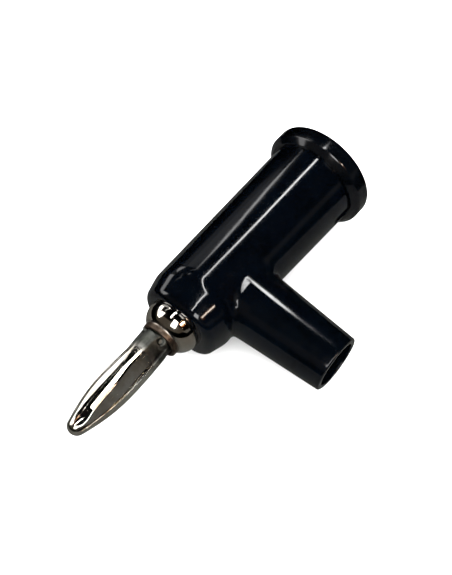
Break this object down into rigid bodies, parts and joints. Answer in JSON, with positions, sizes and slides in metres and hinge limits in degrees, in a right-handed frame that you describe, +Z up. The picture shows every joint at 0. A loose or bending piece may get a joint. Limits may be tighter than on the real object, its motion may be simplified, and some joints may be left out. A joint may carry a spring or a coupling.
{
  "type": "stackable banana plug",
  "caption": "Black stackable banana plug with a sprung pin and ball collar, a socket in its flanged rear end and a tapered side tube for the cable.",
  "frame": {"origin": "centre of the housing's front face, where the pin's collar seats", "axes": "+X along the pin towards its tip, +Z up as the plug lies on its side, with the side tube towards +Y"},
  "size_m": [0.0439, 0.0234, 0.0132],
  "materials": {
    "black_plastic": "gloss",
    "cap_plastic": "gloss",
    "body_plating": "nickel plated, satin",
    "collar_plating": "nickel plated, bright",
    "spring_plating": "nickel plated, slightly tarnished"
  },
  "bodies": {
    "plug": {"housing": "black_plastic", "end_cap": "cap_plastic", "socket_body": "body_plating"},
    "pin": {"pin_holder": "collar_plating", "bunch_spring": "spring_plating"}
  },
  "joints": [
    {"name": "pin_unscrew", "type": "slide", "parent": "plug", "child": "pin", "axis": [1, 0, 0], "range_m": [0, 0.0024]}
  ]
}
